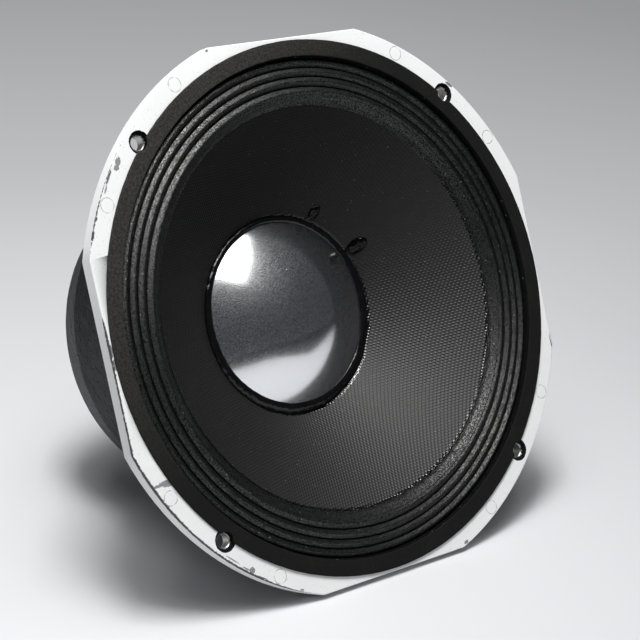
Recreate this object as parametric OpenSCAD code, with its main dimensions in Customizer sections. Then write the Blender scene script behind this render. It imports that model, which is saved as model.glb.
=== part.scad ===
// Instrument loudspeaker driver with a cast frame, a large metal dome and a cast magnet pot.
// It is drawn about its own axis, with z = 0 on the flange's front face and +z out of the cone.
// place() then leans it back until the flange's lower flat and the pot's rear rim both touch z = 0.

/* [Frame] */
// Diameter of the frame's opening behind the surround
opening_d = 274.4; // [260:0.2:290]
// Width of the flange's rim from the opening to its four arcs
rim_w = 19.2; // [18.6:0.1:21]
// Width of the flange's rim from the opening to its four flats
flat_w = 10.9; // [10:0.1:12]
// Thickness of the flange
flange_t = 8; // [7:0.5:9]
// Wall of the basket just behind the flange, which passes through the baffle
throat_wall = 2.8; // [2.4:0.1:3.2]
// Width of each of the four arms
arm_w = 34; // [30:1:38]
// Distance from the opening's edge to each bolt hole's axis
bolt_inset = 10.55; // [10:0.05:11]
// Diameter of each bolt hole
bolt_hole_d = 7.5; // [6.5:0.1:8]
// Diameter of the countersink at the front of each bolt hole
countersink_d = 12.6; // [10:0.1:13]

/* [Gasket] */
// Width of the front gasket's ring
gasket_w = 9; // [8:0.1:10]
// How far the gasket's inner edge stands back from the frame's opening
gasket_gap = 0.2; // [0:0.1:0.6]
// Thickness of the front gasket above the flange
gasket_t = 1.1; // [0.8:0.1:2]

/* [Cone and suspension] */
// Width of the surround, from the frame's opening to the cone's outer edge
surround_w = 21.7; // [20:0.1:24]
// Width of the surround's land that is glued on the cone's edge
land_w = 4.5; // [4:0.1:5.5]
// Depth of the cone's edge behind the flange face
edge_depth = 7.2; // [6:0.1:8]
// Depth of the cone's neck behind the flange face
neck_depth = 52.2; // [48:0.1:56]
// Thickness of the cone
cone_t = 1.2; // [1:0.1:1.4]
// How far the cone's side bows forward of a straight line
cone_bow = 1; // [0:0.1:1.5]
// Number of rolls in the surround
surround_rolls = 4; // [3:1:5]
// Peak-to-valley height of the surround's rolls
surround_wave = 2.5; // [1.5:0.1:3]
// Depth of the rolls' crests behind the flange face
crest_depth = 1.2; // [1:0.1:2]
// Number of rolls in the spider
spider_rolls = 6; // [4:1:7]

/* [Dome and coil] */
// Inner diameter of the coil former
coil_d = 101.6; // [96:0.1:106]
// How far the coil former stands forward of the cone's neck, up to the dome's base
former_rise = 4.4; // [4:0.1:5]
// Height of the dome
dome_h = 17; // [15:0.5:20]
// Width of the glue bead round the dome
bead_w = 4.8; // [4:0.1:5.6]

/* [Magnet] */
// Outer diameter of the magnet pot
pot_d = 194; // [184:0.5:204]
// Wall of the magnet pot
pot_wall = 10; // [9.5:0.1:11]
// Depth of the pot's rear face behind the flange face
depth = 143; // [135:0.5:150]
// Length of the pot's tapered rear edge
pot_taper_l = 22; // [18:0.5:26]
// How far the pot's tapered rear edge goes in
pot_taper_w = 7; // [5:0.5:9]
// Thickness of the top plate
top_plate_t = 10; // [9:0.5:11]

/* [Terminals] */
// Travel of each push button
button_travel = 2.5; // [2:0.1:2.5]
// Distance from the arm's edge to each terminal's axis
terminal_overhang = 5; // [4.5:0.1:6]

/* [Hidden] */

round_fn = 180;
small_fn = 48;
eps = 0.1;
seat_gap = 0.05;

opening_r = opening_d / 2;
frame_r = opening_r + rim_w;
flat_r = opening_r + flat_w;
throat_r = opening_r + throat_wall;
bolt_circle_r = opening_r + bolt_inset;
gasket_inner_r = opening_r + gasket_gap;
gasket_r = gasket_inner_r + gasket_w;
rebate_w = 7.2;
rebate_r = opening_r + rebate_w;
rebate_depth = 1;

cone_edge_r = opening_r - surround_w;
land_r = cone_edge_r - land_w;
land_start_r = land_r - 1.5;
land_t = 0.7;

former_t = 0.4;
former_r = coil_d / 2 + former_t;
former_top_z = -neck_depth + former_rise;
bead_r = former_r + bead_w;

pot_r = pot_d / 2;
pot_inner_r = pot_r - pot_wall;
pot_floor_t = 10;
pot_floor_z = -depth + pot_floor_t;
rear_rim_r = pot_r - pot_taper_w;

spider_drop = 8.8;
ledge_h = 9;
ledge_w = 7;
base_t = 6;
base_margin = 4;
ledge_z = -neck_depth - spider_drop;
base_top_z = ledge_z - ledge_h;
base_z = base_top_z - base_t;
base_r = pot_r + base_margin;
ledge_r = base_r - 17;
ledge_inner_r = ledge_r - ledge_w;
base_inner_r = former_r + 8.8;

wall_drop = 6;
wall_top_z = -flange_t - wall_drop;
window_top_z = wall_top_z - 2;

first_arm_angle = 45;
rib_t = 4;
rib_top_x = sqrt(pow(throat_r - 0.6, 2) - pow(arm_w / 2, 2));
rib_top_z = window_top_z - 4;
rib_foot_x = base_r + 12;
rib_foot_z = base_z + 4;

winding_t = 0.9;
winding_l = 14;
top_plate_z = base_z - top_plate_t;
winding_z = (base_z + top_plate_z) / 2;
former_end_z = winding_z - winding_l / 2 - 0.8;
gap_r = former_r + winding_t + 0.9;
pole_r = coil_d / 2 - 0.7;
pole_top_z = base_z + 0.5;
slug_r = pole_r - 7.1;
slug_top_z = top_plate_z - 2;

screw_r = 3;
screw_circle_r = pot_inner_r + 0.46 * pot_wall;
screw_l = 34;
screw_head_r = screw_r + 2;
screw_head_h = 6;
screw_count = 8;

// How far the driver leans back, and how high its origin then lies
lean = atan2(flat_r - rear_rim_r, depth - flange_t);
lift = flat_r * cos(lean) + flange_t * sin(lean);
front_y = -(gasket_r * sin(lean) + gasket_t * cos(lean));
back_y = rear_rim_r * sin(lean) + depth * cos(lean);

plate_z = rib_foot_z + 15;
plate_x = rib_top_x + (rib_foot_x - rib_top_x) * (rib_top_z - plate_z) / (rib_top_z - rib_foot_z);
plate_tilt_y = atan2(rib_top_z - rib_foot_z, rib_foot_x - rib_top_x);
terminal_pitch = arm_w + 2 * terminal_overhang;
plate_t = 2.4;
plate_end = 10;
plate_w = terminal_pitch + 2 * plate_end;
plate_h = 26;
plate_screw_inset = 4;
plate_screw_pitch = plate_h - 2 * plate_screw_inset;
boss_l = 14;
boss_r = 4.5;

post_r = 2.5;
post_flange_t = 0.8;
post_seat_z = plate_t + post_flange_t;
spring_l = 6;
spring_wire_r = 0.35;
spring_r = post_r + 0.8;
spring_turns = 3.5;
button_r = post_r + 3;
button_recess = 2.5;
button_bottom_z = post_seat_z + spring_l - button_recess;
button_stop_z = post_seat_z + spring_l + 5;
button_top_z = button_stop_z + 1.8;
post_head_r = post_r + 0.8;
wire_hole_r = 1.1;
wire_hole_z = button_stop_z - 2.4;
tag_t = 0.6;
tag_r = 4;
tag_x = -tag_r - tag_t;
tag_tail_l = 7;

eyelet_spread = 16;
eyelet_x = bead_r + 4.5;
eyelet_bore_r = 0.9;
eyelet_r = eyelet_bore_r + 0.4;
eyelet_flange_r = eyelet_r + 0.9;
lead_r = 0.6;
lead_sag = 16;

// Depth of the cone's front surface at radius r
function cone_z(r) =
    let (t = (r - former_r) / (land_start_r - former_r))
    -neck_depth + (neck_depth - edge_depth) * t + 4 * cone_bow * t * (1 - t);

// Angle of the cone's front surface at radius r
function cone_angle(r) = atan2(cone_z(r + 0.5) - cone_z(r - 0.5), 1);

// Height at radius r of a rolled band that starts and ends in a trough, at r0 and r1
function wave(r, r0, r1, rolls, height) = -height / 2 * cos(360 * rolls * (r - r0) / (r1 - r0));

function unit(v) = v / norm(v);

// Points of a curve from a to c that is pulled towards b
function curve(a, b, c, steps) = [
    for (i = [0:steps])
        let (t = i / steps)
        a * (1 - t) * (1 - t) + 2 * b * t * (1 - t) + c * t * t
];

// Turns a point on an arm's own radial plane by the arm's angle
function on_arm(p, angle) = [
    p[0] * cos(angle) - p[1] * sin(angle),
    p[0] * sin(angle) + p[1] * cos(angle),
    p[2]
];

// Point on an eyelet's axis, at the given distance behind the cone's front
function eyelet_point(side, down) =
    let (slope = cone_angle(eyelet_x))
    on_arm(
        [eyelet_x + down * sin(slope), 0, cone_z(eyelet_x) - down * cos(slope)],
        first_arm_angle + side * eyelet_spread
    );

// Leans the whole driver back onto z = 0, with its bounding box centred on the origin
module place() {
    translate([0, -(front_y + back_y) / 2, lift])
        rotate([90 - lean, 0, 0])
            children();
}

// Ring between two radii and two heights
module ring(r_out, r_in, z0, z1) {
    rotate_extrude($fn = round_fn)
        translate([r_in, z0])
            square([r_out - r_in, z1 - z0]);
}

// Solid of revolution from points given as radius and height
module lathe(points) {
    rotate_extrude($fn = round_fn)
        polygon(points);
}

// Round bar along a path, with its section turned from the reference direction
module bar(path, r, reference, sides = 8) {
    last = len(path) - 1;
    rings = [
        for (i = [0:last])
            let (
                along = unit(path[min(i + 1, last)] - path[max(i - 1, 0)]),
                side = unit(cross(along, reference)),
                up = cross(side, along)
            )
            for (k = [0:sides - 1])
                path[i] + r * (cos(360 * k / sides) * side + sin(360 * k / sides) * up)
    ];
    start_cap = [[for (k = [0:sides - 1]) k]];
    end_cap = [[for (k = [sides - 1:-1:0]) last * sides + k]];
    walls = [
        for (i = [0:last - 1])
            for (k = [0:sides - 1])
                let (next = (k + 1) % sides)
                [i * sides + k, (i + 1) * sides + k, (i + 1) * sides + next, i * sides + next]
    ];
    polyhedron(points = rings, faces = concat(start_cap, walls, end_cap), convexity = 4);
}

module at_bolts() {
    for (i = [0:3])
        rotate([0, 0, first_arm_angle + 90 * i])
            translate([bolt_circle_r, 0, 0])
                children();
}

module at_screws() {
    for (i = [0:screw_count - 1])
        rotate([0, 0, 360 / screw_count * (i + 0.5)])
            translate([screw_circle_r, 0, 0])
                children();
}

// Plate frame: x runs down the arm, y across it, z out of the plate's outer face side
module at_plate() {
    rotate([0, 0, first_arm_angle])
        translate([plate_x, 0, plate_z])
            rotate([0, plate_tilt_y, 0])
                children();
}

module at_plate_screws() {
    for (s = [-1, 1])
        translate([s * plate_screw_pitch / 2, 0, 0])
            children();
}

// Eyelet frame: z along the cone's front normal
module at_eyelet(side) {
    rotate([0, 0, first_arm_angle + side * eyelet_spread])
        translate([eyelet_x, 0, cone_z(eyelet_x)])
            rotate([0, -cone_angle(eyelet_x), 0])
                children();
}

module flange_block() {
    intersection() {
        translate([0, 0, -flange_t])
            cylinder(h = flange_t, r = frame_r, $fn = round_fn);
        translate([-flat_r, -flat_r, -flange_t - eps])
            cube([2 * flat_r, 2 * flat_r, flange_t + 2 * eps]);
    }
}

// Everything inside the basket, which is taken out of the casting
module basket_inside() {
    lathe([
        [0, eps], [opening_r, eps], [opening_r, wall_top_z],
        [base_r - 2.5, base_top_z], [ledge_r, base_top_z], [ledge_r, ledge_z],
        [ledge_inner_r, ledge_z], [ledge_inner_r, base_top_z], [base_inner_r, base_top_z],
        [base_inner_r, base_z - eps], [0, base_z - eps]
    ]);
}

// Four windows between arms of constant width
module windows() {
    reach = throat_r + 20;
    difference() {
        ring(reach, ledge_r + 3, base_top_z, window_top_z);
        for (i = [0:1])
            rotate([0, 0, first_arm_angle + 90 * i])
                translate([-reach - eps, -arm_w / 2, base_top_z - eps])
                    cube([2 * (reach + eps), arm_w, window_top_z - base_top_z + 2 * eps]);
    }
}

// Pair of ribs along the edges of one arm
module arm_ribs() {
    for (s = [-1, 1])
        translate([0, s * (arm_w / 2 - rib_t / 2) + rib_t / 2, 0])
            rotate([90, 0, 0])
                linear_extrude(rib_t)
                    polygon([
                        [opening_r - 1, wall_top_z + 4], [rib_top_x, wall_top_z + 4],
                        [rib_top_x, rib_top_z], [rib_foot_x, rib_foot_z],
                        [rib_foot_x - 6, base_z], [base_r - 6, base_z], [base_r - 3, base_top_z + 2]
                    ]);
}

module cast_frame() {
    color("white")
        place()
            difference() {
                union() {
                    flange_block();
                    lathe([
                        [0, base_z], [base_r, base_z], [base_r + 3, base_top_z],
                        [throat_r, wall_top_z], [throat_r, -flange_t + eps], [0, -flange_t + eps]
                    ]);
                    for (i = [0:3])
                        rotate([0, 0, first_arm_angle + 90 * i])
                            arm_ribs();
                    at_plate()
                        at_plate_screws()
                            translate([0, 0, -boss_l])
                                cylinder(h = boss_l, r = boss_r, $fn = small_fn);
                }
                basket_inside();
                windows();
                translate([0, 0, -rebate_depth])
                    cylinder(h = rebate_depth + eps, r = rebate_r, $fn = round_fn);
                at_bolts() {
                    translate([0, 0, -flange_t - eps])
                        cylinder(h = flange_t + 2 * eps, d = bolt_hole_d, $fn = small_fn);
                    translate([0, 0, -(countersink_d - bolt_hole_d) / 2])
                        cylinder(
                            h = (countersink_d - bolt_hole_d) / 2 + 0.01,
                            d1 = bolt_hole_d, d2 = countersink_d, $fn = small_fn
                        );
                }
                at_screws()
                    translate([0, 0, base_z - eps])
                        cylinder(h = base_top_z - base_z + 2 * eps, r = screw_r + 0.3, $fn = small_fn);
                at_plate()
                    at_plate_screws()
                        translate([0, 0, -7])
                            cylinder(h = 7 + eps, r = 1.3, $fn = small_fn);
            }
}

module front_gasket() {
    color("dimgray")
        place()
            difference() {
                ring(gasket_r, gasket_inner_r, 0, gasket_t);
                at_bolts()
                    translate([0, 0, -eps])
                        cylinder(h = gasket_t + 2 * eps, r = bolt_hole_d / 2 + 0.7, $fn = small_fn);
            }
}

module surround() {
    outer_r = opening_r - 1.2;
    inner_r = cone_edge_r + 0.3;
    steps = surround_rolls * 12;
    roll_z = -crest_depth - surround_wave / 2;
    inner_z = -edge_depth + land_t;
    top = [
        for (i = [0:steps])
            let (
                t = i / steps,
                r = outer_r + (inner_r - outer_r) * t,
                fade = min(1, 4 * min(t, 1 - t))
            )
            [r, roll_z + (inner_z - roll_z) * max(0, 4 * t - 3)
                + fade * wave(r, inner_r, outer_r, surround_rolls, surround_wave)]
    ];
    rim_r = rebate_r - 0.2;
    outer = [
        [rim_r, -rebate_depth + seat_gap], [rim_r, -seat_gap], [opening_r - 0.8, -seat_gap]
    ];
    inner = [
        [inner_r - 1, inner_z], [land_r, inner_z],
        [land_r, -edge_depth + 0.02], [cone_edge_r + 0.1, -edge_depth + 0.02]
    ];
    back = [for (i = [steps:-1:0]) [top[i][0], top[i][1] - land_t]];
    wall = [[outer_r + land_t, roll_z - 0.3], [opening_r - 0.1, -rebate_depth + seat_gap]];
    color("black")
        place()
            lathe(concat(outer, top, inner, back, wall));
}

module cone() {
    steps = 10;
    front = [
        for (i = [0:steps])
            let (r = former_r + seat_gap + (land_start_r - former_r - seat_gap) * i / steps)
            [r, cone_z(r)]
    ];
    drop = cone_t / cos(cone_angle((former_r + land_start_r) / 2));
    back = [for (i = [steps:-1:1]) [front[i][0], front[i][1] - drop]];
    collar_r = former_r + cone_t;
    color("dimgray")
        place()
            difference() {
                lathe(concat(
                    front, [[cone_edge_r, -edge_depth], [cone_edge_r, -edge_depth - cone_t]],
                    back, [[collar_r, -neck_depth - 1.5], [collar_r, -neck_depth - 4],
                           [former_r + seat_gap, -neck_depth - 4]]
                ));
                for (side = [-1, 1])
                    at_eyelet(side)
                        translate([0, 0, -5])
                            cylinder(h = 8, r = eyelet_r + seat_gap, $fn = small_fn);
            }
}

module dome() {
    base_r_dome = coil_d / 2 - seat_gap;
    sphere_r = (pow(base_r_dome, 2) + pow(dome_h, 2)) / (2 * dome_h);
    skin = 0.4;
    color("silver")
        place()
            translate([0, 0, former_top_z])
                union() {
                    intersection() {
                        difference() {
                            translate([0, 0, dome_h - sphere_r])
                                sphere(r = sphere_r, $fn = round_fn);
                            translate([0, 0, dome_h - sphere_r])
                                sphere(r = sphere_r - skin, $fn = round_fn);
                        }
                        cylinder(h = dome_h + 1, r = base_r_dome + 2, $fn = round_fn);
                    }
                    ring(base_r_dome, base_r_dome - skin - 0.15, -3, 0.01);
                }
}

module dome_glue_ring() {
    top_z = former_top_z + 0.9;
    color("black")
        place()
            lathe([
                [former_r + seat_gap, cone_z(former_r + seat_gap)],
                [(former_r + bead_r) / 2, cone_z((former_r + bead_r) / 2)],
                [bead_r, cone_z(bead_r)], [bead_r - 0.6, cone_z(bead_r) + 0.7],
                [bead_r - 1.8, top_z], [former_r + 1, top_z],
                [coil_d / 2 + 0.05, former_top_z + 0.25], [coil_d / 2 + 0.05, former_top_z + 0.02],
                [former_r + seat_gap, former_top_z + 0.02]
            ]);
}

module coil_former() {
    color("sienna")
        place()
            ring(former_r, coil_d / 2, former_end_z, former_top_z);
}

module coil_winding() {
    color("peru")
        place()
            ring(former_r + winding_t, former_r, winding_z - winding_l / 2, winding_z + winding_l / 2);
}

module spider() {
    inner_r = former_r + 1.2;
    outer_r = ledge_inner_r - 0.5;
    skin = 0.5;
    plane_z = ledge_z + skin;
    steps = spider_rolls * 12;
    top = [
        for (i = [0:steps])
            let (
                r = inner_r + (outer_r - inner_r) * i / steps,
                fade = min(1, 4 * min(i, steps - i) / steps)
            )
            [r, plane_z + fade * wave(r, inner_r, outer_r, spider_rolls, 3)]
    ];
    back = [for (i = [steps:-1:0]) [top[i][0], top[i][1] - skin]];
    color("goldenrod")
        place()
            lathe(concat(
                [[former_r + 0.02, plane_z + 1.5], [former_r + 0.6, plane_z + 1.5], [former_r + 0.7, plane_z]],
                top, [[ledge_r - 0.5, plane_z], [ledge_r - 0.5, ledge_z]],
                back, [[former_r + 0.7, plane_z - skin], [former_r + 0.02, plane_z - 1]]
            ));
}

module spider_ring() {
    color("tan")
        place()
            ring(ledge_r - 0.5, ledge_inner_r + 1, ledge_z + 0.5, ledge_z + 3.5);
}

module top_plate() {
    color("gray")
        place()
            difference() {
                ring(pot_r - 0.5, gap_r, top_plate_z, base_z);
                at_screws()
                    translate([0, 0, top_plate_z - eps])
                        cylinder(h = top_plate_t + 2 * eps, r = screw_r + 0.3, $fn = small_fn);
            }
}

module pole_piece() {
    color("gray")
        place()
            lathe([
                [0, slug_top_z], [slug_r, slug_top_z], [pole_r, slug_top_z + 4],
                [pole_r, pole_top_z - 0.5], [pole_r - 0.5, pole_top_z], [0, pole_top_z]
            ]);
}

module slug_magnet() {
    color("slategray")
        place()
            translate([0, 0, pot_floor_z])
                cylinder(h = slug_top_z - pot_floor_z, r = slug_r, $fn = round_fn);
}

module magnet_pot() {
    color("black")
        place()
            difference() {
                lathe([
                    [0, -depth], [rear_rim_r, -depth], [pot_r, -depth + pot_taper_l],
                    [pot_r, top_plate_z], [pot_inner_r, top_plate_z],
                    [pot_inner_r, pot_floor_z], [0, pot_floor_z]
                ]);
                at_screws()
                    translate([0, 0, base_top_z - screw_l - 2])
                        cylinder(h = screw_l, r = screw_r, $fn = small_fn);
            }
}

module frame_screws() {
    color("dimgray")
        place()
            at_screws()
                difference() {
                    union() {
                        translate([0, 0, base_top_z - screw_l])
                            cylinder(h = screw_l, r = screw_r - 0.02, $fn = small_fn);
                        translate([0, 0, base_top_z])
                            cylinder(h = screw_head_h, r = screw_head_r, $fn = small_fn);
                    }
                    translate([0, 0, base_top_z + screw_head_h - 3])
                        cylinder(h = 3 + eps, r = screw_r - 0.1, $fn = 6);
                }
}

module terminal_plate() {
    color("saddlebrown")
        place()
            at_plate()
                difference() {
                    translate([-plate_h / 2, -plate_w / 2, seat_gap])
                        cube([plate_h, plate_w, plate_t - seat_gap]);
                    at_plate_screws()
                        translate([0, 0, -eps])
                            cylinder(h = plate_t + 2 * eps, r = 1.7, $fn = small_fn);
                    for (side = [-1, 1])
                        translate([0, side * terminal_pitch / 2, -eps])
                            cylinder(h = plate_t + 2 * eps, r = post_r + 0.5 + seat_gap, $fn = small_fn);
                }
}

module terminal_screws() {
    color("silver")
        place()
            at_plate()
                at_plate_screws()
                    difference() {
                        union() {
                            translate([0, 0, plate_t - 8.5])
                                cylinder(h = 8.5, r = 1.28, $fn = small_fn);
                            translate([0, 0, plate_t])
                                cylinder(h = 2, r = 2.8, $fn = small_fn);
                        }
                        translate([-3, -0.4, plate_t + 1.1])
                            cube([6, 0.8, 1]);
                    }
}

module terminal_post(side) {
    place()
        at_plate()
            translate([0, side * terminal_pitch / 2, 0])
                difference() {
                    union() {
                        translate([0, 0, -tag_t - 1])
                            cylinder(h = 1, r = post_r + 1.2, $fn = small_fn);
                        translate([0, 0, -tag_t - 1])
                            cylinder(h = post_seat_z + tag_t + 1, r = post_r + 0.5, $fn = small_fn);
                        translate([0, 0, plate_t])
                            cylinder(h = post_flange_t, r = 4.5, $fn = small_fn);
                        cylinder(h = button_stop_z + 0.9, r = post_r, $fn = small_fn);
                        translate([0, 0, button_stop_z + 0.02])
                            cylinder(h = 0.9, r = post_head_r, $fn = small_fn);
                    }
                    translate([-6, 0, wire_hole_z - button_travel])
                        rotate([0, 90, 0])
                            cylinder(h = 12, r = wire_hole_r, $fn = small_fn);
                }
}

module terminal_button(side) {
    place()
        at_plate()
            translate([0, side * terminal_pitch / 2, 0])
                difference() {
                    lathe([
                        [post_r + 1.7, button_bottom_z], [button_r - 0.4, button_bottom_z],
                        [button_r, button_bottom_z + 0.4], [button_r, button_top_z - 1],
                        [button_r - 1, button_top_z], [post_head_r + 0.3, button_top_z],
                        [post_head_r + 0.3, button_stop_z], [post_r + 0.08, button_stop_z],
                        [post_r + 0.08, button_bottom_z + button_recess],
                        [post_r + 1.7, button_bottom_z + button_recess]
                    ]);
                    translate([-8, 0, wire_hole_z])
                        rotate([0, 90, 0])
                            cylinder(h = 16, r = wire_hole_r, $fn = small_fn);
                }
}

module terminal_spring(side) {
    start_z = post_seat_z + spring_wire_r + 0.01;
    rise = spring_l - 2 * spring_wire_r - 0.02;
    steps = spring_turns * 14;
    helix = [
        for (i = [0:steps])
            let (turn = 360 * spring_turns * i / steps)
            [spring_r * cos(turn), spring_r * sin(turn), start_z + rise * i / steps]
    ];
    place()
        at_plate()
            translate([0, side * terminal_pitch / 2, 0])
                bar(helix, spring_wire_r, [0, 0, 1], 6);
}

module terminal_post_red() {
    color("gold") terminal_post(1);
}

module terminal_post_black() {
    color("gold") terminal_post(-1);
}

module terminal_button_red() {
    color("red") terminal_button(1);
}

module terminal_button_black() {
    color("black") terminal_button(-1);
}

module terminal_spring_red() {
    color("silver") terminal_spring(1);
}

module terminal_spring_black() {
    color("silver") terminal_spring(-1);
}

module solder_tags() {
    color("silver")
        place()
            at_plate()
                for (side = [-1, 1])
                    translate([0, side * terminal_pitch / 2, 0])
                        difference() {
                            union() {
                                translate([0, 0, -tag_t])
                                    cylinder(h = tag_t, r = tag_r, $fn = small_fn);
                                translate([tag_x, -2, -tag_t])
                                    cube([-tag_x, 4, tag_t]);
                                translate([tag_x, -2, -tag_tail_l])
                                    cube([tag_t, 4, tag_tail_l]);
                            }
                            translate([0, 0, -tag_t - eps])
                                cylinder(h = tag_t + 2 * eps, r = post_r + 0.5 + seat_gap, $fn = small_fn);
                        }
}

// A lead runs from its tag, sags behind the cone and ends inside its eyelet
module lead(side) {
    tag_end = on_arm([
        plate_x + tag_x * cos(plate_tilt_y) - (tag_tail_l - 1) * sin(plate_tilt_y),
        side * terminal_pitch / 2,
        plate_z - tag_x * sin(plate_tilt_y) - (tag_tail_l - 1) * cos(plate_tilt_y)
    ], first_arm_angle);
    hole_end = eyelet_point(side, 3.2);
    sag = (tag_end + hole_end) / 2 - [0, 0, lead_sag];
    path = concat(curve(tag_end, sag, hole_end, 12), [eyelet_point(side, 1)]);
    place()
        bar(path, lead_r, on_arm([0, 1, 0], first_arm_angle), 8);
}

module lead_red() {
    color("peru") lead(1);
}

module lead_black() {
    color("peru") lead(-1);
}

module lead_eyelets() {
    drop = cone_t + 0.35;
    color("gold")
        place()
            for (side = [-1, 1])
                at_eyelet(side)
                    rotate_extrude($fn = small_fn)
                        polygon([
                            [eyelet_bore_r, -drop - 0.3], [eyelet_flange_r, -drop - 0.3],
                            [eyelet_flange_r, -drop], [eyelet_r, -drop], [eyelet_r, 0.12],
                            [eyelet_flange_r, 0.12], [eyelet_flange_r, 0.42], [eyelet_bore_r, 0.42]
                        ]);
}

module lead_glue() {
    blob_r = 3.4;
    blob_h = 1.7;
    ball_r = (pow(blob_r, 2) + pow(blob_h, 2)) / (2 * blob_h);
    color("black")
        place()
            for (side = [-1, 1])
                at_eyelet(side) {
                    intersection() {
                        translate([0, 0, blob_h - ball_r])
                            sphere(r = ball_r, $fn = small_fn);
                        translate([0, 0, 0.1])
                            cylinder(h = blob_h, r = blob_r + 1, $fn = small_fn);
                    }
                    translate([-7, 0, 0.35])
                        rotate([0, 90, 0])
                            cylinder(h = 7, r = 0.75, $fn = small_fn);
                }
}

cast_frame();
front_gasket();
surround();
cone();
dome();
dome_glue_ring();
coil_former();
coil_winding();
spider();
spider_ring();
top_plate();
pole_piece();
slug_magnet();
magnet_pot();
frame_screws();
terminal_plate();
terminal_screws();
terminal_post_red();
terminal_post_black();
terminal_button_red();
terminal_button_black();
terminal_spring_red();
terminal_spring_black();
solder_tags();
lead_red();
lead_black();
lead_eyelets();
lead_glue();
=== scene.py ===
"""Looks of the loudspeaker driver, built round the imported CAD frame.

Shapes are written in millimetres about the driver's own axis, with z = 0 on the flange's front face and +z out of
the cone, as in the CAD source. row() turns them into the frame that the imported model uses, in metres.
"""

import math

import bmesh
import bpy
import numpy as np
from mathutils import Matrix, Vector, noise


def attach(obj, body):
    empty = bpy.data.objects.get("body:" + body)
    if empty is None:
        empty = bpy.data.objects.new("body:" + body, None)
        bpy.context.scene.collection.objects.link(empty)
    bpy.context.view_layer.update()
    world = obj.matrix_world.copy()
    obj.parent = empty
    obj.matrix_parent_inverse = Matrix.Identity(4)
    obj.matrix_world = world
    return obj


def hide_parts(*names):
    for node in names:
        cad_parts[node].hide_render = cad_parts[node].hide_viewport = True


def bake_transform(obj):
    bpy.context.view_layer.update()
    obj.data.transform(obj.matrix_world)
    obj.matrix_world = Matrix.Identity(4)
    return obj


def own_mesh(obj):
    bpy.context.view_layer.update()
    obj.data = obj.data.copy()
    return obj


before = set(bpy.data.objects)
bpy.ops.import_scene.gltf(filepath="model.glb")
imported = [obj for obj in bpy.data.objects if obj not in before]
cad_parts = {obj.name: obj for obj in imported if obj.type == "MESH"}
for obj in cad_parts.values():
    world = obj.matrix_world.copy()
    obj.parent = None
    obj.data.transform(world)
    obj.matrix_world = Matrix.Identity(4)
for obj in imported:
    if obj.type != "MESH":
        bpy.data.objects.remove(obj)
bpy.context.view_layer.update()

# ------------------------ sizes, in millimetres and radians
# As in the CAD source: flange, gasket, cone and dome, pot, leads and terminals
FRAME_R = 156.4
FLAT_R = 148.1
FLANGE_T = 8.0
BOLT_R = 147.75
BOLT_HOLE_R = 3.75
COUNTERSINK_R = 6.3
GASKET_R = 146.4
GASKET_INNER_R = 137.4
GASKET_T = 1.1
CONE_EDGE_R = 115.5
EDGE_Z = -7.2
NECK_Z = -52.2
FORMER_R = 51.2
LAND_R = 111.0
DOME_R = 50.75
DOME_Z = -47.8
BEAD_R = 56.0
POT_R = 97.0
POT_REAR_R = 90.0
POT_Z = -143.0
POT_TAPER_Z = -121.0
POT_TOP_Z = -86.0
BOLT_ANGLE = math.radians(45)
EYELET_R = 60.5
EYELET_SPREAD = math.radians(16)
TERMINAL_X = 120.315
TERMINAL_Z = -57.0
TERMINAL_TILT = math.radians(115.9977)
TERMINAL_PITCH = 44.0
# Read from the photo: end of the cone's glue seam, start of the surround's outer wall, and the ring marks of the
# mould's ejectors with their distance from the axis, their turn from a flat's middle and their own radius
SEAM_R = 111.4
WALL_R = 136.0
MARK_AT_R = 151.5
MARK_TURN = math.radians(30)
MARK_R = 3.9

# How the driver leans on the floor, and the turn and shift that take it there from its own axis
LEAN = math.atan2(FLAT_R - POT_REAR_R, -POT_Z - FLANGE_T)
LIFT = FLAT_R * math.cos(LEAN) + FLANGE_T * math.sin(LEAN)
FRONT_Y = -(GASKET_R * math.sin(LEAN) + GASKET_T * math.cos(LEAN))
BACK_Y = POT_REAR_R * math.sin(LEAN) - POT_Z * math.cos(LEAN)
TURN = np.array(Matrix.Rotation(math.pi / 2 - LEAN, 3, "X"))
SHIFT = np.array([0.0, -(FRONT_Y + BACK_Y) / 2, LIFT])
MM = 0.001
# Directions across the driver's face, as seen in the photo
UPPER_LEFT = (-0.72, 0.69, 0.0)
LOWER_RIGHT = (0.55, -0.83, 0.0)


def row(points):
    """Points in driver millimetres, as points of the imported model's frame in metres."""
    return (np.asarray(points, float) @ TURN.T + SHIFT) * MM


def driver_points(mesh):
    """The mesh's points in driver millimetres."""
    return (np.array([v.co for v in mesh.vertices]) / MM - SHIFT) @ TURN


def turned(x, y, angle):
    """x and y after a turn about their origin."""
    return x * math.cos(angle) - y * math.sin(angle), x * math.sin(angle) + y * math.cos(angle)


def add_object(name, data):
    """Object with that data, put into the scene."""
    made = bpy.data.objects.new(name, data)
    bpy.context.scene.collection.objects.link(made)
    return made


# ------------------------ camera
# Place in metres, directions, and focal length for a sensor 36 mm wide
CAMERA_AT = (-0.67459, -0.8513, 0.51354)
CAMERA_RIGHT = Vector((0.77888, -0.62577, 0.04184))
CAMERA_UP = Vector((0.18542, 0.29348, 0.93781))
CAMERA_LENS = 114.79


def make_camera():
    """Camera at the place that was fitted to the photo's flange and bolt holes."""
    data = bpy.data.cameras.new("camera")
    data.lens = CAMERA_LENS
    data.sensor_width = 36.0
    data.clip_start, data.clip_end = 0.05, 60.0
    camera = add_object("camera", data)
    back = CAMERA_RIGHT.cross(CAMERA_UP).normalized()
    up = back.cross(CAMERA_RIGHT).normalized()
    turn = Matrix((CAMERA_RIGHT.normalized(), up, back)).transposed()
    camera.matrix_world = Matrix.Translation(CAMERA_AT) @ turn.to_4x4()
    bpy.context.scene.camera = camera


make_camera()


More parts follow.
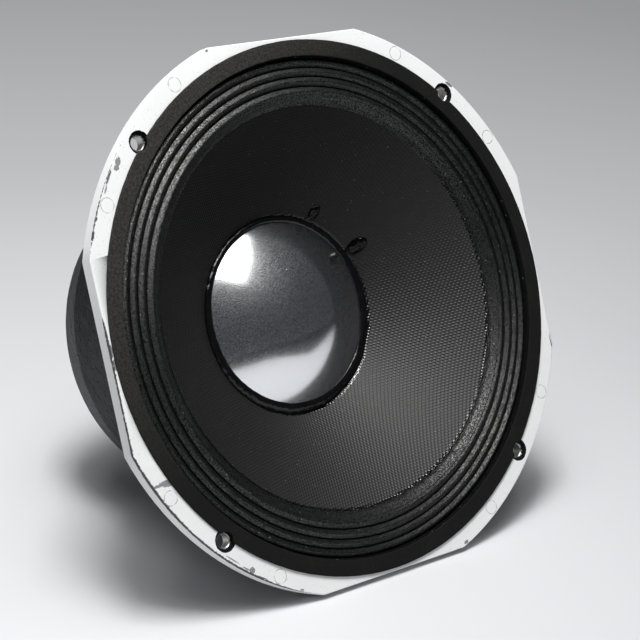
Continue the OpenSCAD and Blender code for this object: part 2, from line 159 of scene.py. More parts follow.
# ------------------------ materials
def rgba(color):
    """Opaque colour. A single number makes a grey."""
    return (*(color if isinstance(color, tuple) else (color,) * 3), 1.0)


def maths(operation):
    """Method that adds a Math node of that operation and gives its result."""
    return lambda self, *values, clamp=False: self.node(
        "ShaderNodeMath", *values, operation=operation, use_clamp=clamp).outputs[0]


class Nodes:
    """Short ways to build a node tree. Every value may be a number, a colour or another node's output."""

    add, sub, mul, div = maths("ADD"), maths("SUBTRACT"), maths("MULTIPLY"), maths("DIVIDE")
    muladd, power, root, fract = maths("MULTIPLY_ADD"), maths("POWER"), maths("SQRT"), maths("FRACT")
    larger, smaller, below = maths("MAXIMUM"), maths("MINIMUM"), maths("LESS_THAN")
    absolute, sine, cosine, arctan2 = maths("ABSOLUTE"), maths("SINE"), maths("COSINE"), maths("ARCTAN2")

    def __init__(self, tree):
        self.tree = tree

    def give(self, value, socket):
        """Links or sets an input."""
        if isinstance(value, bpy.types.NodeSocket):
            self.tree.links.new(value, socket)
        elif value is not None and socket.type == "RGBA":
            socket.default_value = rgba(value)
        elif value is not None:
            socket.default_value = value

    def node(self, kind, *values, named=None, **settings):
        """Adds a node with these settings. values go to its first inputs, named ones to the inputs of that name."""
        made = self.tree.nodes.new(kind)
        for key, value in settings.items():
            setattr(made, key, value)
        for value, socket in zip(values, made.inputs):
            self.give(value, socket)
        for name, value in (named or {}).items():
            self.give(value, made.inputs[name])
        return made

    def vector(self, operation, a, b=None, out="Vector"):
        return self.node("ShaderNodeVectorMath", a, b, operation=operation).outputs[out]

    def along(self, at, way):
        """How far at lies in the direction way."""
        return self.vector("DOT_PRODUCT", at, way, out="Value")

    def hypot(self, a, b):
        return self.root(self.add(self.mul(a, a), self.mul(b, b)))

    def step(self, value, low, high, to_low=0.0, to_high=1.0):
        """Smooth change from to_low to to_high while value goes from low to high."""
        return self.node("ShaderNodeMapRange", value, low, high, to_low, to_high,
                         interpolation_type="SMOOTHSTEP").outputs["Result"]

    def ramp(self, value, stops):
        """Colour ramp with these stops, each a position and a grey level or a colour."""
        made = self.node("ShaderNodeValToRGB", value)
        line = made.color_ramp.elements
        while len(line) < len(stops):
            line.new(0.5)
        for element, (at, color) in zip(line, stops):
            element.position, element.color = at, rgba(color)
        return made.outputs["Color"]

    def mix(self, share, a, b):
        """Colour between a and b. The node's first colour input is its seventh, and its colour output the third."""
        made = self.node("ShaderNodeMix", share, data_type="RGBA")
        self.give(a, made.inputs[6])
        self.give(b, made.inputs[7])
        return made.outputs[2]


class Finish(Nodes):
    """One procedural material. Patterns are laid out in driver millimetres, so they stay put on every piece.

    at is the shaded point, x, y and z are its parts, r its distance from the axis and turn its angle, from 0 to 1."""

    def __init__(self, name, specular=0.5, metallic=0.0):
        self.mat = bpy.data.materials.new(name)
        self.mat.use_nodes = True
        super().__init__(self.mat.node_tree)
        self.shader = self.tree.nodes["Principled BSDF"]
        self.set("Specular IOR Level", specular)
        self.set("Metallic", metallic)
        at = self.node("ShaderNodeTexCoord").outputs["Object"]
        at = self.vector("SUBTRACT", at, tuple(SHIFT * MM))
        upright = {"Angle": LEAN - math.pi / 2}
        at = self.node("ShaderNodeVectorRotate", at, named=upright, rotation_type="X_AXIS").outputs[0]
        self.at = self.vector("MULTIPLY", at, (1 / MM,) * 3)
        self.x, self.y, self.z = self.node("ShaderNodeSeparateXYZ", self.at).outputs
        flat = self.node("ShaderNodeCombineXYZ", self.x, self.y, 0.0).outputs[0]
        self.r = self.vector("LENGTH", flat, out="Value")
        self.turn = self.fract(self.add(self.div(self.arctan2(self.y, self.x), math.tau), 1.0))

    def set(self, name, value):
        self.give(value, self.shader.inputs[name])

    def dress(self, color, roughness, *relief):
        """Sets the look and returns the material. Each layer of relief is a height and its swing in millimetres."""
        self.set("Base Color", color)
        self.set("Roughness", roughness)
        normal = None
        for height, mm in relief:
            normal = self.node("ShaderNodeBump", named={
                "Strength": 1.0, "Distance": mm * MM, "Height": height, "Normal": normal}).outputs["Normal"]
        self.set("Normal", normal)
        return self.mat

    def toward(self, way):
        """How far the shaded point lies from the axis in that direction, in millimetres."""
        return self.along(self.at, way)

    def noise(self, size, detail=2.0, rough=0.5, at=None):
        """Noise from 0 to 1 with features of about that size in millimetres."""
        return self.node("ShaderNodeTexNoise", at or self.at, named={
            "Scale": 1.0 / size, "Detail": detail, "Roughness": rough}).outputs["Fac"]

    def cells(self, size):
        """Voronoi cells of about that size in millimetres."""
        return self.node("ShaderNodeTexVoronoi", self.at, named={"Scale": 1.0 / size}).outputs

    def weave(self, pitch):
        """Plain weave of that pitch, from 0 to 1."""
        across, along = (self.sine(self.mul(way, math.tau / pitch)) for way in (self.x, self.y))
        return self.muladd(self.mul(across, along), 0.5, 0.5)

    def specks(self, size, share):
        """Mask of rare small dots, about that size in millimetres."""
        cells = self.cells(size * 3.0)
        near = self.below(cells["Distance"], 0.17)
        pick = self.node("ShaderNodeSeparateXYZ", cells["Color"]).outputs[0]
        return self.mul(near, self.below(pick, share))


# Where the paint has come off the flange's front edge: share of a turn, and how far in the bare line reaches
EDGE_WEAR = (
    (0.0, 0.10), (0.12, 0.05), (0.30, 0.05), (0.38, 0.25), (0.43, 0.55), (0.45, 0.10), (0.475, 0.10),
    (0.487, 0.95), (0.505, 0.80), (0.52, 0.65), (0.55, 0.75), (0.562, 0.95), (0.572, 1.05), (0.583, 1.0),
    (0.60, 0.92), (0.63, 0.80), (0.655, 0.85), (0.68, 0.40), (0.70, 0.12), (0.79, 0.10), (0.805, 0.35),
    (0.82, 0.15), (0.93, 0.2), (0.95, 0.5), (0.975, 0.15), (1.0, 0.10),
)
# Single chips on the flange's face: x, y, half length along the edge, half width across it, turn of the long side
CHIPS = (
    (-119.6, 96.6, 2.6, 1.5, 62), (-121.2, 93.6, 1.6, 1.4, 20), (-127.0, 89.4, 4.6, 0.6, 56),
    (-130.2, 83.5, 2.3, 0.45, 60), (-139.2, 70.0, 1.2, 0.6, 62), (-143.2, 62.0, 2.6, 0.75, 68),
    (-131.6, -67.9, 4.6, 1.7, 176), (-137.0, -68.2, 3.6, 0.75, 4), (-128.9, -67.6, 1.6, 2.2, 60),
    (-141.6, -66.4, 1.6, 0.45, 122), (-92.2, -123.7, 1.9, 1.7, 40), (-95.2, -121.9, 2.6, 0.4, 143),
    (-102.5, -115.2, 4.6, 0.35, 138), (-86.6, -129.0, 3.4, 0.35, 147), (110.4, 109.2, 2.6, 0.8, 138),
    (52.4, -145.6, 1.6, 1.0, 20), (146.9, -49.0, 4.5, 0.4, 92), (-51.2, 146.4, 0.8, 0.7, 0),
    (-147.0, 4.0, 3.5, 0.7, 90), (-146.4, -3.5, 3.0, 1.1, 92), (-74.5, -138.0, 1.6, 0.4, 160),
    (-64.0, -141.5, 1.3, 0.4, 165),
)


def paint_finish():
    """White paint on the casting: orange peel, ejector marks, bare countersinks, chips and edge wear."""
    f = Finish("frame_paint")
    mottle = f.noise(22.0, 3.0)
    white = f.mix(mottle, (0.80, 0.82, 0.825), (0.86, 0.87, 0.865))
    grime = f.step(f.noise(9.0, 5.0, 0.7), 0.62, 0.78, 0.0, 0.35)
    white = f.mix(grime, white, (0.70, 0.69, 0.65))

    # The larger and the smaller of |x| and |y|: every quarter of the flange looks alike in them
    x, y = f.absolute(f.x), f.absolute(f.y)
    u, v = f.larger(x, y), f.smaller(x, y)
    edge = f.larger(f.smaller(f.sub(FRAME_R, f.r), f.sub(FLAT_R, u)), 0.0)
    to_edge = f.hypot(edge, f.smaller(f.z, 0.0))
    reach = f.mul(f.ramp(f.turn, EDGE_WEAR), f.muladd(f.noise(1.6, 5.0, 0.75), 3.6, -0.75))
    bare = f.step(f.sub(to_edge, reach), -0.12, 0.06, 1.0, 0.0)

    ragged = f.muladd(f.noise(1.1, 4.0, 0.7), 1.5, -0.75)
    chips = 0.0
    for x, y, along, across, turn in CHIPS:
        c, s = turned(1, 0, math.radians(turn))
        dx, dy = f.sub(f.x, x), f.sub(f.y, y)
        a = f.add(f.mul(dx, c / along), f.mul(dy, s / along))
        b = f.add(f.mul(dx, -s / across), f.mul(dy, c / across))
        chips = f.larger(chips, f.below(f.add(f.hypot(a, b), ragged), 1.0))
    on_flange = f.step(f.z, 1 - FLANGE_T, 3 - FLANGE_T)
    bare = f.mul(f.larger(bare, f.mul(chips, f.step(f.z, -1.1, -0.8))), on_flange)
    dots = f.mul(f.specks(0.32, 0.07), on_flange)

    mark = f.hypot(f.sub(u, MARK_AT_R * math.cos(MARK_TURN)), f.sub(v, MARK_AT_R * math.sin(MARK_TURN)))
    line = f.step(f.absolute(f.sub(mark, MARK_R)), 0.10, 0.28, 1.0, 0.0)
    line = f.mul(line, f.step(f.noise(3.2, 2.0), 0.34, 0.58, 0.12, 0.95))
    line = f.mul(line, f.step(f.z, -0.6, -0.3))

    bolt_at = BOLT_R * math.sqrt(0.5)
    bolt = f.hypot(f.sub(u, bolt_at), f.sub(v, bolt_at))
    sink_edge = f.muladd(f.noise(1.4, 3.0, 0.6), 0.9, bolt)
    sink = f.step(sink_edge, COUNTERSINK_R + 0.35, COUNTERSINK_R + 0.6, 1.0, 0.0)
    sink = f.mul(sink, f.step(f.z, -FLANGE_T - 0.5, 0.1 - FLANGE_T))
    # Black over the outer part of each countersink, with bare metal in ragged patches towards the hole.
    dark_ring = f.step(f.muladd(f.noise(1.0, 4.0, 0.7), -2.6, bolt), BOLT_HOLE_R - 1.0, BOLT_HOLE_R - 0.7)
    dark_sink_ring = f.mul(sink, dark_ring)

    color = f.mix(line, white, 0.30)
    color = f.mix(dots, color, (0.12, 0.11, 0.10))
    old_metal = f.mix(f.noise(0.9, 4.0), (0.16, 0.17, 0.18), (0.34, 0.35, 0.36))
    old_metal = f.mix(f.step(to_edge, 0.5, 1.5), (0.055, 0.056, 0.06), old_metal)
    new_metal = f.mix(f.noise(0.7, 3.0), (0.22, 0.21, 0.20), (0.72, 0.71, 0.69))
    color = f.mix(bare, color, old_metal)
    color = f.mix(sink, color, f.mix(dark_ring, new_metal, (0.006, 0.006, 0.007)))
    f.set("Metallic", f.mul(sink, f.muladd(dark_ring, -0.95, 0.95)))
    f.set("Specular IOR Level", f.muladd(dark_sink_ring, -0.45, 0.5))
    coat = f.mix(f.larger(bare, sink), f.mix(mottle, 0.50, 0.60), 0.38)
    deep = f.sub(1.0, f.larger(bare, f.mul(line, 0.6)))
    return f.dress(color, f.mix(dark_sink_ring, coat, 0.85),
                   (f.noise(1.8, 3.0, 0.6), 0.05), (f.noise(0.35, 2.0), 0.008), (deep, 0.10))


def gasket_finish():
    """Black gasket board: fibrous and matte, with paler rubbed specks, and a painted sheen of paler mottling on its
    upper-left side.
    """
    f = Finish("gasket_board", specular=0.16)
    fibre = f.noise(0.9, 5.0, 0.72)
    patch = f.noise(16.0, 3.0)
    color = f.mix(fibre, 0.0022, (0.0105, 0.0104, 0.0102))
    color = f.mix(f.step(patch, 0.45, 0.75, 0.0, 0.4), color, (0.0105, 0.0098, 0.0088))
    # Painted sheen: paler mottling on the upper-left side only, where the light falls on the board.
    painted_sheen = f.mul(f.step(f.toward(UPPER_LEFT), 20.0, 135.0), f.step(f.noise(1.3, 5.0, 0.75), 0.25, 0.75))
    color = f.mix(painted_sheen, color, (0.050, 0.0492, 0.0455))
    color = f.mix(f.specks(0.35, 0.05), color, (0.060, 0.055, 0.048))
    return f.dress(color, f.step(fibre, 0.2, 0.8, 0.95, 0.74), (fibre, 0.16), (f.noise(0.3, 3.0), 0.05))


def surround_finish():
    """Doped cloth: a fine weave under a grainy black coat, whose grains glitter where they face the light."""
    f = Finish("doped_cloth")
    grain = f.step(f.noise(0.8, 2.0, 0.8), 0.36, 0.64)
    fine = f.noise(0.34, 3.0, 0.8)
    clump = f.noise(2.2, 3.0, 0.7)
    color = f.mix(grain, (0.0012, 0.0015, 0.0014), (0.0062, 0.0070, 0.0066))
    color = f.mix(f.step(f.noise(14.0, 3.0), 0.5, 0.8, 0.0, 0.5), color, (0.0042, 0.0050, 0.0045))
    color = f.mix(f.specks(0.5, 0.05), color, (0.34, 0.35, 0.34))
    upper_left = f.toward(UPPER_LEFT)
    seam = f.mul(f.step(f.r, SEAM_R, SEAM_R + 0.4, 1.0, 0.0), f.step(upper_left, -60.0, 20.0, 1.0, 0.0))
    wall = f.step(f.r, WALL_R, WALL_R + 0.4)
    coat = f.mix(wall, f.mix(grain, 0.43, 0.33), 0.95)
    shine = f.step(f.muladd(clump, 0.45, grain), 0.25, 1.15, 0.10, 0.72)
    shine = f.mul(shine, f.muladd(wall, -0.9, 1.0))
    f.set("Specular IOR Level", f.mul(shine, f.step(upper_left, -110.0, 110.0, 0.93, 1.42)))
    return f.dress(color, f.mix(seam, coat, 0.22), (f.weave(0.9), 0.008), (grain, 0.075), (fine, 0.03),
                   (f.mul(f.noise(0.9, 3.0, 0.6), seam), 0.5))


# Two of the three directions of the mesh that was pressed into the cone, as (turn in degrees, pitch in mm)
MESH_MARKS = ((-27.0, 1.76), (40.0, 1.63))


def cone_finish():
    """Charcoal paper pulp, with the forming mesh pressed into it as rows of fine dots."""
    f = Finish("cone_paper")
    first, second = (np.array((math.cos(math.radians(turn)), math.sin(math.radians(turn)), 0.0)) / pitch
                     for turn, pitch in MESH_MARKS)
    waves = [f.cosine(f.toward(tuple(math.tau * way))) for way in (first, second, first - second)]
    dots = f.step(f.add(f.add(waves[0], waves[1]), waves[2]), -1.5, 3.0)
    pulp = f.noise(0.8, 4.0, 0.7)
    cloud = f.noise(26.0, 4.0, 0.6)
    color = f.mix(cloud, (0.0022, 0.0022, 0.0024), (0.0042, 0.0041, 0.0044))
    color = f.mix(dots, color, (0.0044, 0.0043, 0.0045))
    color = f.mix(f.specks(0.42, 0.035), color, (0.20, 0.195, 0.19))
    glued = f.step(f.muladd(f.noise(3.0, 3.0, 0.6), 2.4, f.r), 57.9, 58.5, 1.0, 0.0)
    matte = f.mix(dots, 0.62, 0.48)
    coated = f.toward(LOWER_RIGHT)
    outer = f.step(f.muladd(f.noise(2.0, 3.0, 0.6), -2.6, f.r), 108.4, 109.0)
    glued = f.larger(glued, f.mul(outer, f.step(coated, -60.0, 0.0)))
    f.set("Specular IOR Level", f.step(coated, -95.0, 75.0, 0.24, 0.62))
    return f.dress(color, f.mix(glued, matte, 0.12), (dots, 0.19), (pulp, 0.03))


def dome_finish():
    """Polished metal with a faint haze, hairlines and dust."""
    f = Finish("dome_metal", metallic=1.0)
    haze = f.noise(18.0, 4.0, 0.6)
    dust = f.specks(0.30, 0.06)
    color = f.mix(haze, (0.80, 0.81, 0.835), (0.86, 0.865, 0.875))
    color = f.mix(dust, color, (0.55, 0.56, 0.57))
    frosted = f.step(f.noise(0.16, 2.0), 0.575, 0.615)
    smooth = f.mix(frosted, f.mix(haze, 0.13, 0.16), 0.42)
    return f.dress(color, f.mix(dust, smooth, 0.7), (f.noise(6.0, 2.0), 0.012), (dust, 0.03))


def glue_finish():
    """Shiny black glue of the dome's bead, with a film of uneven gloss."""
    f = Finish("black_glue", specular=0.42)
    film = f.noise(5.0, 4.0, 0.6)
    return f.dress(f.mix(film, (0.002, 0.002, 0.0024), (0.006, 0.006, 0.0065)), f.step(film, 0.35, 0.7, 0.09, 0.22),
                   (f.noise(1.5, 3.0), 0.22), (f.noise(0.5, 3.0), 0.05))


def lead_glue_finish():
    """The darker, lumpier glue over the leads' eyelets."""
    f = Finish("lead_glue", specular=0.22)
    gloss = f.step(f.noise(3.0, 3.0, 0.6), 0.35, 0.7, 0.06, 0.16)
    return f.dress((0.0010, 0.0010, 0.0012), gloss, (f.noise(2.6, 2.0), 0.35))


def pot_finish():
    """Black paint over a rough sand casting: pits, lumps and a dull shine, with a painted highlight: a broken pale
    line along the edge between the side and the taper.
    """
    f = Finish("pot_iron", specular=0.3)
    lumps = f.noise(4.5, 5.0, 0.65)
    pits = f.step(f.cells(3.4)["Distance"], 0.10, 0.34)
    fine = f.noise(0.8, 4.0, 0.7)
    color = f.mix(lumps, (0.0032, 0.0034, 0.0038), (0.0095, 0.0100, 0.0108))
    color = f.mix(f.step(pits, 0.0, 1.0, 0.75, 0.0), color, (0.004, 0.004, 0.0045))
    # Painted highlight: a broken pale line along the edge where the pot's side meets its taper.
    rim = f.step(f.absolute(f.sub(f.z, POT_TAPER_Z)), 0.25, 1.3, 1.0, 0.0)
    rim = f.mul(rim, f.step(f.noise(2.2, 4.0, 0.7), 0.46, 0.62))
    color = f.mix(f.mul(rim, 0.5), color, (0.11, 0.11, 0.115))
    return f.dress(color, f.mix(lumps, 0.62, 0.42), (lumps, 0.55), (pits, 0.35), (fine, 0.12))


def steel_finish(name, tone, roughness, turned_lines=False):
    """Steel with tarnish, and with fine tool lines round the axis where it was turned."""
    f = Finish(name, metallic=1.0)
    tarnish = f.noise(12.0, 5.0, 0.65)
    color = f.mix(tarnish, (tone, tone, tone * 1.01), (tone * 0.62, tone * 0.61, tone * 0.60))
    relief = [(f.noise(0.6 if turned_lines else 0.5, 4.0), 0.02)]
    if turned_lines:
        relief.insert(0, (f.sine(f.mul(f.add(f.r, f.z), math.tau / 0.45)), 0.008))
    return f.dress(color, f.mix(tarnish, roughness - 0.06, roughness + 0.16), *relief)


def spider_finish():
    """Resin-stiffened cotton: plain weave, amber, darker where the resin pooled."""
    f = Finish("spider_cloth")
    weave = f.weave(1.1)
    pool = f.noise(9.0, 4.0, 0.6)
    color = f.mix(weave, (0.23, 0.13, 0.035), (0.44, 0.29, 0.10))
    color = f.mix(f.step(pool, 0.4, 0.75, 0.0, 0.5), color, (0.20, 0.10, 0.03))
    return f.dress(color, 0.7, (weave, 0.12), (f.noise(0.5, 3.0), 0.05))


def simple_finish(name, low, high, size, roughness, metallic, depth):
    """A finish that wanders between two colours, with a fine relief of the same grain."""
    f = Finish(name, metallic=metallic)
    grain = f.noise(size, 4.0, 0.65)
    return f.dress(f.mix(grain, low, high), f.mix(grain, roughness * 0.85, min(1.0, roughness * 1.2)),
                   (grain, depth), (f.noise(size * 0.3, 3.0), depth * 0.4))


# Two colours, size of the grain in mm, roughness, metallic, depth of the relief in mm
SIMPLE_FINISHES = (
    ("magnet_alloy", (0.16, 0.16, 0.17), (0.30, 0.30, 0.31), 3.0, 0.5, 0.8, 0.08),
    ("screw_steel", (0.030, 0.030, 0.033), (0.075, 0.073, 0.072), 1.5, 0.4, 0.7, 0.02),
    ("nickel_brass", (0.60, 0.58, 0.50), (0.74, 0.72, 0.66), 2.5, 0.24, 1.0, 0.01),
    ("tinned_brass", (0.48, 0.47, 0.44), (0.66, 0.65, 0.62), 1.2, 0.36, 1.0, 0.04),
    ("tinsel_copper", (0.36, 0.17, 0.08), (0.66, 0.38, 0.22), 0.7, 0.38, 1.0, 0.02),
    ("former_film", (0.22, 0.10, 0.03), (0.36, 0.18, 0.06), 8.0, 0.32, 0.0, 0.01),
    ("coil_ribbon", (0.52, 0.40, 0.26), (0.70, 0.58, 0.42), 2.0, 0.35, 0.9, 0.01),
    ("ring_board", (0.16, 0.105, 0.06), (0.27, 0.19, 0.12), 1.0, 0.85, 0.0, 0.06),
    ("fibre_board", (0.035, 0.018, 0.010), (0.085, 0.045, 0.022), 1.4, 0.5, 0.0, 0.03),
    ("red_plastic", (0.36, 0.012, 0.012), (0.46, 0.02, 0.018), 5.0, 0.28, 0.0, 0.012),
    ("black_plastic", (0.010, 0.010, 0.011), (0.017, 0.017, 0.018), 5.0, 0.28, 0.0, 0.012),
)
# Blender adds a number to the name of a finish that the CAD's own materials have too
MATERIALS = {made.name.split(".")[0]: made for made in (
    paint_finish(), gasket_finish(), surround_finish(), cone_finish(), dome_finish(), glue_finish(),
    lead_glue_finish(), pot_finish(), spider_finish(), steel_finish("plate_steel", 0.40, 0.34, True),
    steel_finish("spring_steel", 0.62, 0.26), *(simple_finish(*look) for look in SIMPLE_FINISHES))}


# ------------------------ mesh helpers
def settle(name, mesh, finish, body, node, sharp=None):
    """Turns a mesh into a piece: its finish, its shading, the body it rides on and the CAD node it stands for."""
    mesh.materials.clear()
    mesh.materials.append(MATERIALS[finish])
    mesh.shade_smooth()
    if sharp:
        mesh.set_sharp_from_angle(angle=math.radians(sharp))
    piece = add_object(name, mesh)
    if body:
        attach(piece, body)
    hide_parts(node)
    return piece


def mesh_from(name, points, faces):
    """Mesh of points in driver millimetres, with its faces turned outwards."""
    mesh = bpy.data.meshes.new(name)
    mesh.from_pydata(row(points).tolist(), [], [tuple(int(i) for i in f) for f in faces])
    work = bmesh.new()
    work.from_mesh(mesh)
    bmesh.ops.recalc_face_normals(work, faces=work.faces)
    work.to_mesh(mesh)
    work.free()
    return mesh


def rounded(outline, radii, steps):
    """Closed outline with each corner cut by a small arc of its own radius."""
    outline = [np.array(p, float) for p in outline]
    made = []
    for i, (corner, radius) in enumerate(zip(outline, radii)):
        before, after = outline[i - 1] - corner, outline[(i + 1) % len(outline)] - corner
        long_before, long_after = np.linalg.norm(before), np.linalg.norm(after)
        cut = min(radius, 0.45 * min(long_before, long_after))
        if not cut:
            made.append(corner)
            continue
        a, b = corner + before / long_before * cut, corner + after / long_after * cut
        for t in np.arange(steps + 1) / steps:
            made.append(a * (1 - t) ** 2 + 2 * corner * t * (1 - t) + b * t * t)
    return np.array(made)


def split(outline, longest):
    """The closed outline with no side longer than that, so that it can be displaced."""
    made = []
    for i, a in enumerate(outline):
        b = outline[(i + 1) % len(outline)]
        parts = max(1, int(math.ceil(np.linalg.norm(b - a) / longest)))
        made.extend(a + (b - a) * k / parts for k in range(parts))
    return np.array(made)


def lathe_points(outline, turns, change=None):
    """Ring of copies of a closed outline of (radius, z). change gets radius, z and angle and gives new ones."""
    radii, heights = np.array(outline, float).T
    r, a = np.meshgrid(radii, np.arange(turns) * math.tau / turns)
    z = np.tile(heights, (turns, 1))
    if change:
        r, z = change(r, z, a)
    return np.stack([r * np.cos(a), r * np.sin(a), z], -1).reshape(-1, 3)


def grid_faces(rows, cols, rows_close=True, cols_close=True):
    """Faces of a grid of points, row after row, which may close on itself either way."""
    i, k = np.meshgrid(np.arange(rows - (not rows_close)), np.arange(cols - (not cols_close)), indexing="ij")
    i2, k2 = (i + 1) % rows, (k + 1) % cols
    return np.stack([i * cols + k, i2 * cols + k, i2 * cols + k2, i * cols + k2], -1).reshape(-1, 4)


def lathe(name, outline, turns, finish, body, node, change=None, sharp=None):
    """Ring whose section is a closed outline."""
    mesh = mesh_from(name, lathe_points(outline, turns, change), grid_faces(turns, len(outline)))
    return settle(name, mesh, finish, body, node, sharp)


def disc(name, outline, turns, finish, body, node, change=None, sharp=None):
    """Solid of revolution whose open outline starts and ends on the axis."""
    inside = outline[1:-1]
    points = lathe_points(inside, turns, change)
    count = len(inside)
    first, last = len(points), len(points) + 1
    points = np.vstack([points, [[0, 0, outline[0][1]], [0, 0, outline[-1][1]]]])
    faces = list(grid_faces(turns, count, cols_close=False))
    for i in range(turns):
        j = (i + 1) % turns
        faces.append((first, j * count, i * count))
        faces.append((last, i * count + count - 1, j * count + count - 1))
    return settle(name, mesh_from(name, points, faces), finish, body, node, sharp)


# How close two points of a CAD mesh are taken as one, in metres, and how flat an edge between its faces is dropped
SAME_POINT = 2e-6
FLAT_EDGE = math.radians(0.6)


def softened(name, node, finish, body, width, segments=2, limit=30.0, where=None):
    """Copy of a CAD node with its faces joined up and its edges rounded by that many millimetres.

    where picks the edges to round from the driver points of their two ends."""
    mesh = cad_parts[node].data.copy()
    mesh.name = name
    work = bmesh.new()
    work.from_mesh(mesh)
    bmesh.ops.remove_doubles(work, verts=work.verts, dist=SAME_POINT)
    bmesh.ops.dissolve_limit(work, angle_limit=FLAT_EDGE, verts=work.verts, edges=work.edges)
    work.to_mesh(mesh)
    work.free()
    piece = settle(name, mesh, finish, body, node, limit)
    bevel = piece.modifiers.new("edges", "BEVEL")
    bevel.width = width * MM
    bevel.segments = segments
    bevel.limit_method = "WEIGHT" if where else "ANGLE"
    bevel.angle_limit = math.radians(limit)
    bevel.harden_normals = True
    bevel.use_clamp_overlap = not where
    if where:
        at = driver_points(mesh)
        weights = mesh.attributes.new("bevel_weight_edge", "FLOAT", "EDGE")
        sharp = mesh.attributes["sharp_edge"].data
        for i, edge in enumerate(mesh.edges):
            a, b = (at[v] for v in edge.vertices)
            weights.data[i].value = 1.0 if sharp[i].value and where(a, b) else 0.0
    return piece


def tube(name, path, radius, sides, finish, body, node, strands=1, out=0.0, twist=0.0):
    """Round bar along a path of driver points, or strands of that radius, twisted round the path at a distance."""
    path = np.asarray(path, float)
    along = np.gradient(path, axis=0)
    along /= np.linalg.norm(along, axis=1)[:, None]
    side = np.cross(along[0], [0.3, 0.8, 0.5])
    frames = []
    for t in along:
        side = side - t * (side @ t)
        side /= np.linalg.norm(side)
        frames.append((side.copy(), np.cross(t, side)))
    lengths = np.concatenate([[0], np.cumsum(np.linalg.norm(np.diff(path, axis=0), axis=1))])
    grid = grid_faces(len(path), sides, rows_close=False)
    points, faces = [], []
    for strand in range(strands):
        base = len(points)
        for centre, (u, v), length in zip(path, frames, lengths):
            a = math.tau * strand / strands + twist * length
            middle = centre + out * (math.cos(a) * u + math.sin(a) * v)
            for b in np.arange(sides) * math.tau / sides:
                points.append(middle + radius * (math.cos(b) * u + math.sin(b) * v))
        faces += list(grid + base)
        faces += [range(base, base + sides), range(len(points) - 1, len(points) - 1 - sides, -1)]
    return settle(name, mesh_from(name, points, faces), finish, body, node, sharp=50)


def cone_z(r):
    """Depth of the cone's front at radius r."""
    land = LAND_R - 1.5
    t = (r - FORMER_R) / (land - FORMER_R)
    return NECK_Z + (EDGE_Z - NECK_Z) * t + 4 * t * (1 - t)


def ripple(x, y, z):
    """Smooth noise in -1..1 at arrays of points, with features about one unit wide."""
    points = np.stack(np.broadcast_arrays(x, y, z), -1)
    values = [noise.noise(point) for point in points.reshape(-1, 3).tolist()]
    return np.array(values).reshape(points.shape[:-1])


def wobble(a, r, size, seed):
    """Ripple over the driver's face, with features of that size. Each seed is a pattern of its own."""
    return ripple(r * np.cos(a) / size, r * np.sin(a) / size, seed)


# ------------------------ frame, gasket
# Heights closer than this are level
LEVEL = 0.05
# Radius of the gasket's notch round each bolt hole
NOTCH_R = BOLT_HOLE_R + 0.75


def on_rim(a, b):
    """Edges round the outside of the flange, on its front and its back, clear of the bolt holes."""
    bolt_at = BOLT_R * math.sqrt(0.5)
    level = abs(a[2] - b[2]) < LEVEL and min(abs(a[2]), abs(a[2] + FLANGE_T)) < LEVEL
    outside = all(math.hypot(*p[:2]) > FLAT_R - 0.2 for p in (a, b))
    at_bolt = any(math.hypot(abs(p[0]) - bolt_at, abs(p[1]) - bolt_at) < COUNTERSINK_R + 0.5 for p in (a, b))
    return level and outside and not at_bolt


softened("cast_frame_shell", "cast_frame", "frame_paint", "chassis", 0.55, 3, 25.0, on_rim)


def make_gasket():
    """Gasket ring: a little uneven, and notched round the bolt holes."""
    corners = [(GASKET_INNER_R, 0.0), (GASKET_R, 0.0), (GASKET_R, GASKET_T), (GASKET_INNER_R, GASKET_T)]
    outline = split(rounded(corners, [0.0, 0.0, 0.35, 0.35], 3), 1.5)

    def change(r, z, a):
        from_bolt = np.abs((a - BOLT_ANGLE + math.pi / 4) % (math.pi / 2) - math.pi / 4)
        swing = BOLT_R * np.sin(from_bolt)
        notch = BOLT_R * np.cos(from_bolt) - np.sqrt(np.maximum(NOTCH_R ** 2 - swing ** 2, 0))
        reach = np.where(swing < NOTCH_R, notch, GASKET_R)
        outer = np.minimum(GASKET_R, reach) + 0.12 * wobble(a[:, :1], 146.0, 5.0, 3.1)
        inner = GASKET_INNER_R + 0.15 * wobble(a[:, :1], 137.0, 6.0, 7.7)
        share = (r - GASKET_INNER_R) / (GASKET_R - GASKET_INNER_R)
        r = inner + (outer - inner) * share
        return r, np.where(z > GASKET_T / 2, z + 0.06 * wobble(a, r, 9.0, 1.3), z)

    lathe("gasket_ring", outline, 1440, "gasket_board", "chassis", "front_gasket", change, sharp=50)


make_gasket()


# ------------------------ surround
# Crests and valleys of the accordion rolls as (radius, z), the slope of their inner and outer sides, how round a
# crest is, the part of each side that the groove beside it takes, and the long slope from the glue line to the
# first roll
CRESTS = ((118.0, -1.05), (123.7, -1.0), (128.8, -1.0), (134.0, -0.95))
VALLEYS = ((121.1, -3.9), (126.5, -3.9), (131.5, -3.8), (136.2, -3.6))
ROLL_SLOPES = (1.0, 0.66)
CREST_ROUND = 0.5
GROOVE = 0.16
RISE = ((111.0, -6.55), (111.4, -6.20), (113.2, -5.15), (114.6, -3.65), (116.3, -2.10))
# Cloth: its thickness, its edge under the gasket and the underside there, and where it starts to lie flat
CLOTH_T = 0.7
CLOTH_R = 144.2
CLOTH_UNDER_Z = -0.95
CLOTH_FLAT_R = 138.2
CLOTH_FLAT_Z = -0.05
# The finely stepped part's start and step, and the part that swells
FINE_R = 114.6
FINE_STEP = 0.15
SWELL_R = (114.0, 137.0)
# Middle of the lumpy glue seam between cloth and cone, and where it is thickest
LUMPS_R = 111.5
LUMPS_ANGLE = math.radians(316)


def roll_drop(x, slope):
    """How far a roll has fallen at that distance from its crest."""
    return slope * (math.hypot(x, CREST_ROUND) - CREST_ROUND)


